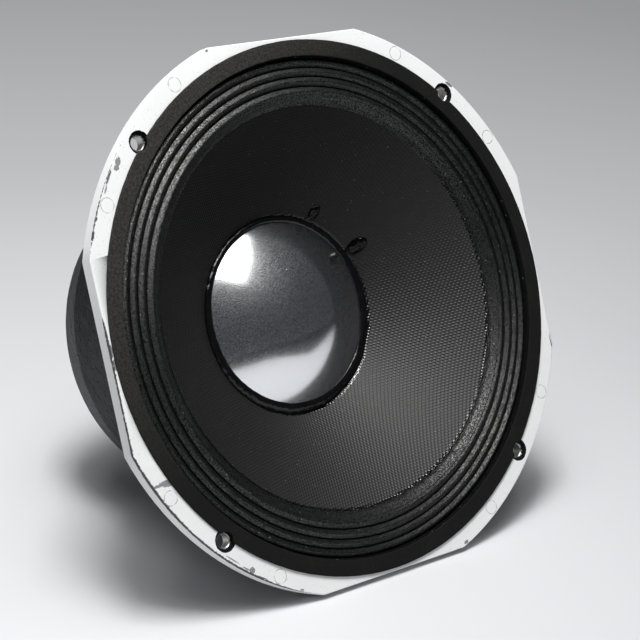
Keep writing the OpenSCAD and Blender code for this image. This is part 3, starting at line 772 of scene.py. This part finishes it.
def surround_top(r):
    """Height of the surround's front at radius r: round rolls with narrow grooves, and a long slope to the cone."""
    if r <= RISE[-1][0]:
        return float(np.interp(r, *zip(*RISE)))
    last_r, last_z = VALLEYS[-1]
    if r >= last_r:
        t = min(1.0, (r - last_r) / 0.7)
        return last_z + (CLOTH_FLAT_Z - last_z) * t * t
    i = next(i for i, valley in enumerate(VALLEYS) if r <= valley[0])
    crest, top = CRESTS[i]
    valley, low = VALLEYS[i] if r > crest or i == 0 else VALLEYS[i - 1]
    x, reach, slope = abs(r - crest), abs(valley - crest), ROLL_SLOPES[r > crest]
    t = max(0.0, (x - (1 - GROOVE) * reach) / (GROOVE * reach))
    return top - roll_drop(x, slope) - (top - low - roll_drop(reach, slope)) * t * t * (3 - 2 * t)


def make_surround():
    """Accordion surround: rolls, a slight swell round the axis, and lumps where it is glued to the cone."""
    radii = [111.0, 111.25, 111.5, 111.8, 112.1, 112.5, 112.9, 113.2, 113.6, 114.1]
    radii += [FINE_R + FINE_STEP * i for i in range(152)]
    radii += [137.6, CLOTH_FLAT_R, 141.0, CLOTH_R]
    top = [(r, surround_top(r)) for r in radii]
    first, last = SWELL_R
    bottom = [(r, z - CLOTH_T) for r, z in top if 112.2 <= r <= last][::-2]
    edge = [(CLOTH_R, CLOTH_UNDER_Z), (CLOTH_FLAT_R, CLOTH_UNDER_Z)]
    outline = top + edge + bottom + [(111.6, EDGE_Z - 0.9)]

    def change(r, z, a):
        ring = a[:, :1]
        lump = wobble(a, r, 1.3, 5.0) + 0.6 * wobble(ring, LAND_R, 4.5, 9.0)
        near = np.clip(1 - np.abs(r - LUMPS_R) / 0.9, 0, 1) * (z > EDGE_Z - 0.3)
        near = near * np.clip(0.45 + 0.75 * np.cos(a - LUMPS_ANGLE), 0.1, 1.0)
        z = z + near * (0.10 + 0.16 * lump)
        r = r + near * 0.55 * wobble(ring, LAND_R, 3.0, 2.0)
        rolls = (r > first) & (r < last)
        z = z + rolls * 0.10 * np.sin(a * 3 + 1.0) * np.sin((r - first) / (last - first) * math.pi)
        return r, z

    piece = lathe("surround_cloth", outline, 720, "doped_cloth", None, "surround", change)
    soft_ring(piece)


def soft_ring(piece):
    """Bakes the ring's place into its mesh, in the imported model's frame."""
    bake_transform(piece)


make_surround()


# ------------------------ cone, dome, glue
# Last radius of the cone that shows, and how steeply it dips under the surround beyond it
CONE_SEEN_R = 110.9
CONE_DIP = 1.6
CONE_T = 1.45
CONE_EDGE_T = 0.8
# Outside of the cone's neck round the former
NECK_R = 52.4


def make_cone():
    """Cone with a thicker wall up to the surround, and its neck."""
    end_z = cone_z(CONE_SEEN_R)
    inner_r = FORMER_R + 0.05
    front_r = np.concatenate([[inner_r], np.linspace(53, 109, 46), [110.0, CONE_SEEN_R, 111.5, 112.2, CONE_EDGE_R]])
    front = [(r, cone_z(r) if r <= CONE_SEEN_R else max(end_z - CONE_DIP * (r - CONE_SEEN_R), EDGE_Z - 1.0))
             for r in front_r]
    back = [(r, z - (CONE_T if r < 109 else CONE_EDGE_T)) for r, z in reversed(front) if r > 53.5]
    neck = [(NECK_R, NECK_Z - 1.5), (NECK_R, NECK_Z - 4.0), (inner_r, NECK_Z - 4.0)]
    lathe("cone_body", front + back + neck, 512, "cone_paper", "cone_assembly", "cone", sharp=40)


# Slope of the dome in degrees at these radii: steeper than a sphere in the middle, flatter towards its rim
DOME_SLOPES = ((0.0, 0.0), (10.0, 8.3), (20.0, 16.0), (30.0, 22.4), (40.0, 27.0), (50.75, 31.0), (53.6, 32.0))
DOME_EDGE_Z = -47.45


def dome_profile():
    """Front of the dome from the axis to its hidden edge, as (radius, z)."""
    radii = np.concatenate([np.linspace(0, 48, 61), np.linspace(48.4, 53.4, 12)])
    slope = np.tan(np.radians(np.interp(radii, *zip(*DOME_SLOPES))))
    drop = np.concatenate([[0], np.cumsum((slope[1:] + slope[:-1]) / 2 * np.diff(radii))])
    return radii, DOME_EDGE_Z + np.interp(DOME_R, radii, drop) - drop


DOME_RADII, DOME_HEIGHTS = dome_profile()


def make_dome():
    """Dome with its hidden edge and its skirt round the former."""
    outer = list(zip(DOME_RADII, DOME_HEIGHTS))
    skirt_z = DOME_Z - 3.0
    skirt = [(53.3, DOME_HEIGHTS[-1] - 0.3), (DOME_R, DOME_EDGE_Z - 0.3), (DOME_R, skirt_z), (DOME_R - 0.5, skirt_z)]
    inner = [(r * 0.995, z - 0.4) for r, z in reversed(outer) if r < 50.0]
    disc("dome_cap", outer + skirt + inner, 384, "dome_metal", "cone_assembly", "dome", sharp=60)


# Bead on the dome: its usual inner radius, how far that swings and where it is widest open, and the bead's height
BEAD_INNER_R = 51.0
BEAD_SWING = 1.35
BEAD_OPEN_ANGLE = math.radians(112)
BEAD_T = 1.15
BEAD_UNDER_R = 54.5
BEAD_MIDDLE_R = 54.0


def make_bead():
    """Glue bead. Its inner edge wanders over the dome, less at the top, where more of the metal stays clear."""
    # The outline holds the share of the way across the bead, and whether the point is on its front or its underside
    outline = [(share, 1.0) for share in np.linspace(0, 1, 30)] + [(0.6, -1.0), (0.0, -1.0)]

    def change(share, upper, a):
        ring = a[:, :1]
        slow = wobble(ring, BEAD_MIDDLE_R, 17.0, 2.0)
        quick = wobble(ring, BEAD_MIDDLE_R, 3.0, 4.0)
        inner = BEAD_INNER_R + BEAD_SWING * np.cos(ring - BEAD_OPEN_ANGLE) + 0.30 * slow + 0.12 * quick
        outer = BEAD_R + 0.45 * slow + 0.25 * quick
        r = inner + (outer - inner) * share
        inner_z = np.interp(inner, DOME_RADII, DOME_HEIGHTS) - 0.03
        outer_z = cone_z(outer) - 0.02
        arch = np.sin(np.pi * share)
        swell = (BEAD_T + 0.18 * slow + 0.12 * wobble(ring, BEAD_MIDDLE_R, 5.0, 8.0)) * arch ** 0.75
        lumps = 0.10 * wobble(a, r, 2.2, 6.0) * arch
        z = inner_z + (outer_z - inner_z) * share + swell + lumps
        under_r = np.where(share > 0.3, BEAD_UNDER_R, FORMER_R + 0.05)
        under_z = np.where(share > 0.3, cone_z(BEAD_UNDER_R) - 0.1, NECK_Z + 0.2)
        return np.where(upper > 0, r, under_r), np.where(upper > 0, z, under_z)

    lathe("dome_bead", outline, 900, "black_glue", "cone_assembly", "dome_glue_ring", change)


# Glue over each lead's eyelet: side, half length, half width, height, how far out it sits, name
BLOBS = ((1, 3.6, 3.3, 1.9, 0.2, "upper"), (-1, 5.6, 4.0, 2.3, 1.1, "right"))
TRAIL_END_R = 54.2


def blob_points(side, long, wide, tall, out, rings, spokes):
    """Lumpy mound of glue, ring after ring from its middle, with x running outwards from the driver's axis."""
    for t in np.arange(rings + 1) / rings:
        for b in np.arange(spokes) * math.tau / spokes:
            wave = 1 + 0.17 * noise.noise((math.cos(b) * 1.3, math.sin(b) * 1.3, side * 3.0 + 1.0))
            dx, dy = long * t * wave * math.cos(b), wide * t * wave * math.sin(b)
            lumps = 0.30 * noise.noise((dx * 0.5, dy * 0.5, side * 5.0))
            lumps += 0.16 * noise.noise((dx * 1.3, dy * 1.3, side * 2.0))
            r = EYELET_R + dx + out
            hump = tall * (1 - t ** 2.6) ** 0.75 * (1 + lumps)
            yield r, dy, cone_z(math.hypot(r, dy)) + hump - 0.06 * (t == 1)


def trail_points(side, steps, sides):
    """Trail of glue from the eyelet to the bead, wider towards its end."""
    first = EYELET_R - 1.0
    for t in np.arange(steps + 1) / steps:
        r = first + (TRAIL_END_R - first) * t
        drift = 0.8 * side * math.sin(t * 2.4)
        half = 1.7 + 2.6 * t ** 2.2 + 0.35 * noise.noise((t * 4, side, 0.0))
        for b in np.arange(sides) * math.pi / (sides - 1):
            y = drift + half * math.cos(b)
            arch = max(math.sin(b), 0.0)
            z = cone_z(math.hypot(r, y)) - 0.05 + (0.75 - 0.25 * t) * arch ** 0.8
            yield r, y, z + 0.12 * noise.noise((r * 0.7, y * 0.7, 4.0)) * arch


def make_lead_joints():
    """A blob of glue over each eyelet, with a trail that flares into the dome's bead."""
    rings, spokes, steps, sides = 18, 48, 24, 17
    blob_faces = grid_faces(rings + 1, spokes, rows_close=False)
    trail_faces = grid_faces(steps + 1, sides, rows_close=False, cols_close=False)
    for side, long, wide, tall, out, name in BLOBS:
        blob = list(blob_points(side, long, wide, tall, out, rings, spokes))
        x, y, z = np.array(blob + list(trail_points(side, steps, sides))).T
        x, y = turned(x, y, BOLT_ANGLE + side * EYELET_SPREAD)
        faces = np.concatenate([blob_faces, trail_faces + len(blob)])
        mesh = mesh_from("lead_joint_" + name, np.stack([x, y, z], -1), faces)
        settle("lead_joint_" + name, mesh, "lead_glue", "cone_assembly", "lead_glue")


make_cone()
make_dome()
make_bead()
make_lead_joints()


# ------------------------ magnet
# The pot is rough outside this radius, and behind the top plate it is hollow to that radius and depth
POT_ROUGH_R = 87.1
POT_HOLLOW_R = 86.0
POT_FLOOR_Z = -100.0


def make_pot():
    """Cast pot with lumps and dents in its side and rear."""
    corners = [(60.0, POT_Z), (POT_REAR_R, POT_Z), (POT_R, POT_TAPER_Z), (POT_R, POT_TOP_Z), (60.0, POT_TOP_Z)]
    side = split(rounded(corners, [0.0, 1.6, 1.0, 0.8, 0.0], 5)[1:-1], 1.3)
    outline = [(0.0, POT_Z)] + [(r, POT_Z) for r in np.arange(4.0, POT_ROUGH_R, 4.0)]
    outline += [tuple(p) for p in side if p[0] > POT_ROUGH_R + 0.1]
    outline += [(POT_HOLLOW_R, POT_TOP_Z), (POT_HOLLOW_R, POT_FLOOR_Z), (0.0, POT_FLOOR_Z)]

    def change(r, z, a):
        rough = (r > POT_ROUGH_R) | (z < POT_Z + 0.01)
        x, y = r * np.cos(a), r * np.sin(a)
        lump = np.where(rough, ripple(x / 7, y / 7, z / 7) + 0.5 * ripple(x / 2.6, y / 2.6, z / 2.6), 0.0)
        inward = 0.22 * (lump - 0.9)
        on_side = (r > POT_ROUGH_R) & (z > POT_Z + 0.8)
        on_rear = rough & (z < POT_Z + 0.8)
        z = z - np.where(on_rear, np.minimum(inward, 0) * 0.6, 0)
        return r + np.where(on_side, inward, 0), z

    disc("pot_casting", outline, 480, "pot_iron", "chassis", "magnet_pot", change)


make_pot()
softened("top_plate_ring", "top_plate", "plate_steel", "chassis", 0.4)
softened("pole_core", "pole_piece", "plate_steel", "chassis", 0.2)
softened("slug_core", "slug_magnet", "magnet_alloy", "chassis", 0.5)
softened("base_screws", "frame_screws", "screw_steel", "chassis", 0.35)


# ------------------------ coil and spider
# Ends of the winding, its turns and its inside on a film of glue; then the spider's rolls, plane and thickness, and
# the radii of its corrugated part and of its rim
COIL_Z = (-88.0, -74.0)
COIL_WIRES = 34
COIL_R = FORMER_R + 0.02
SPIDER_ROLLS = 6
SPIDER_ROLL_T = 1.5
SPIDER_Z = -60.5
SPIDER_T = 0.5
SPIDER_INNER_R = FORMER_R + 1.2
SPIDER_OUTER_R = 76.5
SPIDER_R = 83.5


def make_coil():
    """Former, and the ribbon winding on it with its grooves."""
    softened("former_tube", "coil_former", "former_film", "cone_assembly", 0.08, 1)
    low, high = COIL_Z
    steps = COIL_WIRES * 4
    wires = [(FORMER_R + 0.78 + 0.12 * abs(math.sin(math.pi * i / 4)), low + (high - low) * i / steps)
             for i in range(steps + 1)]
    outline = [(COIL_R, low)] + wires + [(COIL_R, high)]
    lathe("winding_ribbon", outline, 240, "coil_ribbon", "cone_assembly", "coil_winding", sharp=40)


def make_spider():
    """Corrugated centring disc, with a collar glued to the former."""
    top = []
    for t in np.linspace(0, 1, SPIDER_ROLLS * 16 + 1):
        swing = min(1.0, 4 * min(t, 1 - t)) * SPIDER_ROLL_T
        r = SPIDER_INNER_R + (SPIDER_OUTER_R - SPIDER_INNER_R) * t
        top.append((r, SPIDER_Z - swing * math.cos(math.tau * SPIDER_ROLLS * t)))
    collar = [(0.02, 1.5), (0.6, 1.5), (0.8, 0.3)]
    under = [(0.7, -0.5), (0.02, -1.0)]
    rim = [(80.0, 0), (SPIDER_R, 0), (SPIDER_R, -SPIDER_T), (80.0, -SPIDER_T)]
    outline = [(FORMER_R + r, SPIDER_Z + z) for r, z in collar] + top + [(r, SPIDER_Z + z) for r, z in rim]
    outline += [(r, z - SPIDER_T) for r, z in reversed(top)] + [(FORMER_R + r, SPIDER_Z + z) for r, z in under]
    piece = lathe("spider_disc", outline, 360, "spider_cloth", None, "spider")
    soft_ring(piece)


make_coil()
make_spider()
softened("spider_clamp", "spider_ring", "ring_board", "chassis", 0.3)


# ------------------------ terminals
# Spring under each button, in the terminal plate's frame: where it starts, its height, radius, wire and turns
SPRING_SEAT = 3.2
SPRING_H = 6.0
SPRING_R = 3.3
WIRE_R = 0.33
SPRING_TURNS = 3.5
SIDES = ((1, "red"), (-1, "black"))


def plate_point(p):
    """Point of the terminal plate's own frame, in driver millimetres."""
    x, z = turned(p[0], p[2], -TERMINAL_TILT)
    return np.array([*turned(x + TERMINAL_X, p[1], BOLT_ANGLE), z + TERMINAL_Z])


def make_terminals():
    """Terminal plate with its screws and tags, and the posts, buttons and springs of both sides."""
    softened("terminal_board", "terminal_plate", "fibre_board", "chassis", 0.3)
    softened("board_screws", "terminal_screws", "spring_steel", "chassis", 0.15)
    softened("tags", "solder_tags", "tinned_brass", "chassis", 0.1, 1)
    press = plate_point((0, 0, 0)) - plate_point((0, 0, 1))
    inset = WIRE_R + 0.03
    for side, color in SIDES:
        softened("post_" + color, "terminal_post_" + color, "nickel_brass", "chassis", 0.12)
        softened("button_cap_" + color, "terminal_button_" + color, color + "_plastic", "button_" + color, 0.3, 3)
        middle = side * TERMINAL_PITCH / 2
        helix = []
        for turn in np.arange(SPRING_TURNS * 48 + 1) / 48:
            a = math.tau * turn
            height = SPRING_SEAT + inset + (SPRING_H - 2 * inset) * turn / SPRING_TURNS
            helix.append(plate_point((SPRING_R * math.cos(a), middle + SPRING_R * math.sin(a), height)))
        coil = tube("button_spring_" + color, helix, WIRE_R, 10, "spring_steel", "chassis",
                    "terminal_spring_" + color)
        base = row(plate_point((0, middle, SPRING_SEAT)))
        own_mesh(coil)


make_terminals()


# ------------------------ leads
# Leads: radius of the rope and of its strands, their number and pitch, the tag's eye in the plate's frame, and how
# far the slack loop's control point hangs below the straight line
LEAD_R = 0.62
STRAND_R = 0.26
STRANDS = 6
STRAND_PITCH = 4.2
TAG_EYE = (-4.6, -6.0)
LEAD_SAG = 16.0


def lead_path(side):
    """Path of one lead: from its tag in a slack loop to the eyelet, and straight up through that."""
    tag = plate_point((TAG_EYE[0], side * TERMINAL_PITCH / 2, TAG_EYE[1]))
    a = BOLT_ANGLE + side * EYELET_SPREAD
    slope = math.atan2(cone_z(EYELET_R + 0.5) - cone_z(EYELET_R - 0.5), 1)

    def hole(down):
        """Point of the eyelet's axis that far behind the cone's front."""
        r = EYELET_R + down * math.sin(slope)
        return np.array([*turned(r, 0, a), cone_z(EYELET_R) - down * math.cos(slope)])

    end = hole(3.2)
    sag = (tag + end) / 2 - np.array([0, 0, LEAD_SAG])
    loop = [tag * (1 - t) ** 2 + 2 * sag * t * (1 - t) + end * t * t for t in np.arange(41) / 40]
    return np.array(loop + [hole(2.4), hole(1.6), hole(1.0)])


def make_leads():
    """Tinsel leads, twisted of strands, in a slack loop from the tags to the cone."""
    for side, color in SIDES:
        path = lead_path(side)
        steps = np.arange(len(path))
        fine = np.stack([np.interp(np.linspace(0, steps[-1], 220), steps, values) for values in path.T], -1)
        piece = tube("tinsel_" + color, fine, STRAND_R, 6, "tinsel_copper", None, "lead_" + color,
                     STRANDS, LEAD_R - STRAND_R, math.tau / STRAND_PITCH)
        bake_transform(piece)


make_leads()
softened("eyelets", "lead_eyelets", "tinned_brass", "cone_assembly", 0.08, 1)


# ------------------------ floor and light
# Directions on the floor: away from the camera and to its right
FORWARD = Vector((0.638, 0.770, 0.0))
ACROSS = Vector((0.780, -0.626, 0.0))
FLOOR_HALF = 12.0
# Tones of the floor near and far, of its right side, of what the dome mirrors beyond it, and of the backdrop. The far
# tone is painted light and the right tone painted shade, where the softbox's light falls off.
FLOOR_SEEN = (0.615, 0.626, 0.645)
FLOOR_FAR = (1.20, 1.20, 1.23)
FLOOR_RIGHT = (0.28, 0.29, 0.31)
MIRRORED_DARK = (0.03, 0.032, 0.036)
BACKDROP = (0.40, 0.405, 0.42)
WORLD_FRONT = (0.042, 0.044, 0.050)
WORLD_BACK = (0.12, 0.12, 0.125)
# Softbox over the driver, square to the camera: its bright middle and its dimmer surface.
# Each has its middle (across, forward), its size (across, forward) and its power.
SOFTBOX_Z = 1.56
SOFTBOX = ((-0.03, -0.32, 0.36, 0.55, 20.5), (0.0, -0.36, 1.05, 1.25, 17.0))
SOFTBOX_COLOR = (1.0, 0.995, 0.985)


def make_floor():
    """Pale floor. Seen directly or in a reflection it takes the photo's tones; all other light finds it plain."""
    mesh = bpy.data.meshes.new("floor")
    corners = [(x * FLOOR_HALF, y * FLOOR_HALF, 0) for x, y in ((-1, -1), (1, -1), (1, 1), (-1, 1))]
    mesh.from_pydata(corners, [], [(0, 1, 2, 3)])
    f = Finish("floor", specular=0.1)
    at = f.node("ShaderNodeTexCoord").outputs["Object"]
    rays = f.node("ShaderNodeLightPath").outputs
    forward, across = f.along(at, FORWARD), f.along(at, ACROSS)
    away = f.vector("LENGTH", at, out="Value")
    grain = f.noise(0.004, 3.0, 0.6, at=at)
    plain = f.mix(grain, (0.615, 0.62, 0.632), (0.625, 0.63, 0.642))
    seen = f.mix(grain, FLOOR_SEEN, tuple(c * 1.01 for c in FLOOR_SEEN))

    # Painted light and shade: the floor seen by the camera is brighter far off and darker on the right.
    far = f.power(f.larger(f.sub(away, 0.66), 0.0), 1.3)
    looked_at = f.mix(f.muladd(far, 0.80, 0.0, clamp=True), seen, FLOOR_FAR)
    right = f.mul(f.mul(across, 0.9, clamp=True), f.step(forward, 0.2, 0.7, 1.0, 0.3))
    looked_at = f.mix(right, looked_at, FLOOR_RIGHT)

    # In reflections the floor is a sheet of paper that ends in front and on the right, and goes on behind
    near = f.step(f.muladd(across, -0.42, forward), -0.90, -0.80)
    side = f.step(across, 0.43, 0.50, 1.0, 0.0)
    behind = f.sub(forward, f.muladd(across, 0.476, -0.38))
    paper = f.larger(f.mul(near, side), f.step(behind, -0.02, 0.05))
    color = f.mix(rays["Is Glossy Ray"], plain, f.mix(paper, MIRRORED_DARK, seen))
    direct = f.larger(rays["Is Camera Ray"], rays["Is Transmission Ray"])
    color = f.mix(direct, color, looked_at)

    # Far away the camera sees the backdrop's tone on the floor too, so that no horizon shows in front
    ahead = f.div(forward, f.larger(away, 0.01))
    beyond = f.add(away, f.step(ahead, 0.35, 0.75, 0.8, 0.0))
    f.set("Emission Color", BACKDROP)
    f.set("Emission Strength", f.mul(f.step(beyond, 1.5, 3.4), rays["Is Camera Ray"]))
    mesh.materials.append(f.dress(color, 0.9))
    add_object("floor", mesh)


def make_light():
    """The softbox as two area lamps, one just above the other."""
    turn = Matrix((ACROSS.normalized(), FORWARD.normalized(), Vector((0, 0, 1)))).transposed().to_4x4()
    for i, (across, forward, wide, long, power) in enumerate(SOFTBOX):
        data = bpy.data.lights.new(f"softbox_{i}", "AREA")
        data.shape = "RECTANGLE"
        data.size, data.size_y = wide, long
        data.energy = power
        data.color = SOFTBOX_COLOR
        lamp = add_object(f"softbox_{i}", data)
        at = ACROSS * across + FORWARD * forward + Vector((0, 0, SOFTBOX_Z + 0.01 * i))
        lamp.matrix_world = Matrix.Translation(at) @ turn


def make_world():
    """Dim studio, a little brighter behind the driver. The camera sees the plain backdrop."""
    world = bpy.data.worlds.new("world")
    world.use_nodes = True
    w = Nodes(world.node_tree)
    way = w.node("ShaderNodeTexCoord").outputs["Generated"]
    back = w.muladd(w.node("ShaderNodeSeparateXYZ", way).outputs[1], 0.5, 0.5)
    studio = w.ramp(back, ((0.35, WORLD_FRONT), (0.8, WORLD_BACK)))
    camera = w.node("ShaderNodeLightPath").outputs["Is Camera Ray"]
    w.give(w.mix(camera, studio, BACKDROP), w.tree.nodes["Background"].inputs["Color"])
    bpy.context.scene.world = world


make_floor()
make_light()
make_world()
bpy.context.scene.view_settings.view_transform = "Standard"
